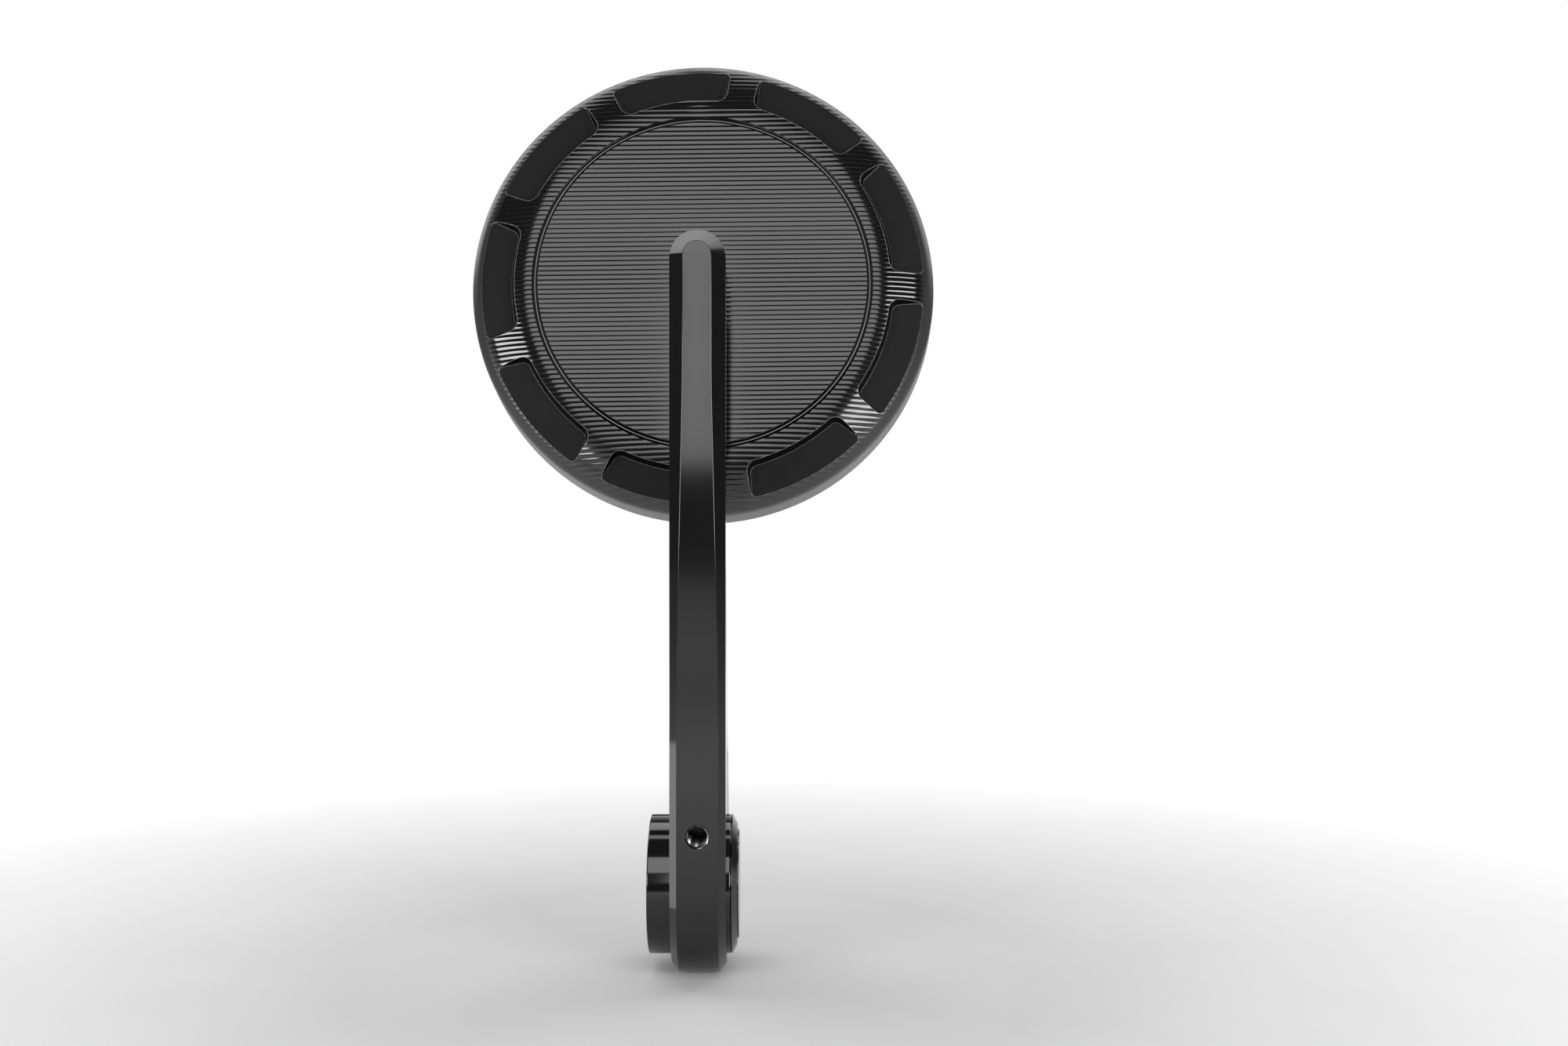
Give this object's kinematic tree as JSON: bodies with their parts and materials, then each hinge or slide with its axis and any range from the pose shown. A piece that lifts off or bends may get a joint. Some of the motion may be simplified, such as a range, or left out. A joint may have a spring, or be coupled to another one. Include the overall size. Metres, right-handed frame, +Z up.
{
  "type": "motorcycle mirror",
  "caption": "Round bar-end motorcycle mirror: a slim machined arm with a clamp eye at its foot and a ridged, pocketed round head on a ball joint at its tip.",
  "frame": {"origin": "on the axis of the clamp bore, in the middle plane of the arm", "axes": "+X along the bore towards the end cap, +Y the way the glass faces, +Z up the arm"},
  "size_m": [0.1086, 0.0523, 0.2076],
  "materials": {
    "satin_black_anodised": "satin black anodised",
    "turned_black_anodised": "turned, gloss black anodised",
    "ridged_black_anodised": "fine machined ridges, gloss black anodised",
    "black_screw_steel": "black oxide",
    "plated_steel": "zinc plated",
    "spring_steel": "hardened strip",
    "nylon": "moulded nylon",
    "foam_tape": "closed-cell foam",
    "silvered_glass": "polished, slightly convex"
  },
  "bodies": {
    "root": {"arm": "satin_black_anodised", "end_cap": "turned_black_anodised", "pinch_screw": "black_screw_steel", "ball_stud": "plated_steel", "stud_lock_nut": "black_screw_steel"},
    "seat_ring": {"ball_seat_ring": "nylon"},
    "seat_cup": {"ball_seat_cup": "nylon"},
    "head": {"mirror_housing": "ridged_black_anodised", "thrust_plate": "plated_steel", "disc_spring": "spring_steel", "retainer_plate": "plated_steel", "retainer_screws": "black_screw_steel", "glass_tape": "foam_tape", "mirror_glass": "silvered_glass"}
  },
  "joints": [
    {"name": "head_tilt", "type": "hinge", "parent": "root", "child": "seat_ring", "pos_m": [0, 0.0128, 0.1356], "axis": [1, 0, 0], "range_deg": [-7, 21]},
    {"name": "head_pan", "type": "hinge", "parent": "seat_ring", "child": "seat_cup", "pos_m": [0, 0.0128, 0.1356], "axis": [0, 0.1219, 0.9925], "range_deg": [-14, 14]},
    {"name": "head_spin", "type": "hinge", "parent": "seat_cup", "child": "head", "pos_m": [0, 0.0128, 0.1356], "axis": [0, 0.9925, -0.1219], "continuous": true}
  ]
}
